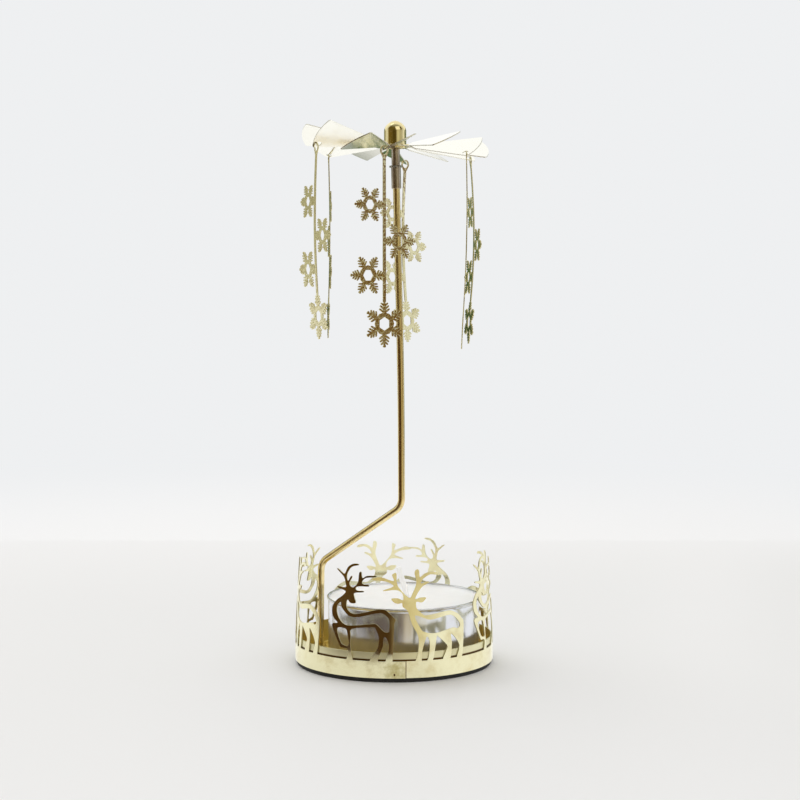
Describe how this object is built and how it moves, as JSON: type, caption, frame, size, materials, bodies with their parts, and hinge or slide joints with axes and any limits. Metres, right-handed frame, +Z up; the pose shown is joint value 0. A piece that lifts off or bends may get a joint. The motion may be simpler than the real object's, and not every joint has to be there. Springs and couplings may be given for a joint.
{
  "type": "angel chime carousel",
  "caption": "Tealight carousel: gold pan with a band of reindeer, a bent wire rod, and a fan of pitched petals on a needle point that carries hanging strips of snowflakes.",
  "frame": {"origin": "middle of the foot pad's underside on the table, on the pan's axis", "axes": "+Z up along the pan's axis, -Y the front, +X to the right seen from the front"},
  "size_m": [0.0488, 0.0553, 0.1326],
  "materials": {
    "black_foam": "matte black foam",
    "pan_gold": "polished olive gold plating",
    "band_gold": "polished pale champagne gold plating",
    "rod_gold": "polished golden brown wire",
    "sleeve_metal": "smooth grey-brown metal",
    "ring_plastic": "milky plastic",
    "needle_steel": "bright steel",
    "cup_aluminium": "thin pressed aluminium",
    "white_wax": "smooth white wax",
    "wick_cotton": "waxed braided cotton",
    "cap_brass": "turned and polished brass",
    "fan_gold": "mirror-polished pale gold plating",
    "flake_gold": "etched and polished pale gold plating"
  },
  "bodies": {
    "base": {"foot_pad": "black_foam", "base_pan": "pan_gold", "reindeer_band": "band_gold", "support_rod": "rod_gold", "pivot_sleeve": "sleeve_metal", "needle_holder": "sleeve_metal", "sleeve_ring": "ring_plastic", "pivot_needle": "needle_steel"},
    "tealight": {"tealight_cup": "cup_aluminium", "candle_wax": "white_wax", "candle_wick": "wick_cotton", "wick_sustainer": "cup_aluminium"},
    "rotor": {"rotor_cap": "cap_brass", "bearing_cup": "cap_brass", "rotor_fan": "fan_gold"},
    "hanger_1": {"hanger_1": "flake_gold"},
    "hanger_2": {"hanger_2": "flake_gold"},
    "hanger_3": {"hanger_3": "flake_gold"},
    "hanger_4": {"hanger_4": "flake_gold"},
    "hanger_5": {"hanger_5": "flake_gold"},
    "hanger_6": {"hanger_6": "flake_gold"}
  },
  "joints": [
    {"name": "rotor_spin", "type": "hinge", "parent": "base", "child": "rotor", "pos_m": [0.0003, 0, 0.12918], "axis": [0, 0, 1], "continuous": true},
    {"name": "tealight_lift", "type": "slide", "parent": "base", "child": "tealight", "axis": [0, 0, 1], "range_m": [0, 0.007]},
    {"name": "hanger_1_swing", "type": "hinge", "parent": "rotor", "child": "hanger_1", "pos_m": [-0.00215, -0.02163, 0.12394], "axis": [-0.9936, 0.1127, 0], "range_deg": [-10, 25]},
    {"name": "hanger_2_swing", "type": "hinge", "parent": "rotor", "child": "hanger_2", "pos_m": [0.01709, -0.01364, 0.12332], "axis": [-0.6305, -0.7762, 0], "range_deg": [-10, 25]},
    {"name": "hanger_3_swing", "type": "hinge", "parent": "rotor", "child": "hanger_3", "pos_m": [0.019, 0.00941, 0.12385], "axis": [0.4495, -0.8933, 0], "range_deg": [-10, 25]},
    {"name": "hanger_4_swing", "type": "hinge", "parent": "rotor", "child": "hanger_4", "pos_m": [0.0028, 0.02161, 0.12392], "axis": [0.9934, -0.1149, 0], "range_deg": [-10, 25]},
    {"name": "hanger_5_swing", "type": "hinge", "parent": "rotor", "child": "hanger_5", "pos_m": [-0.01647, 0.01398, 0.12511], "axis": [0.6404, 0.768, 0], "range_deg": [-10, 25]},
    {"name": "hanger_6_swing", "type": "hinge", "parent": "rotor", "child": "hanger_6", "pos_m": [-0.0183, -0.01035, 0.12555], "axis": [-0.4861, 0.8739, 0], "range_deg": [-10, 25]}
  ]
}
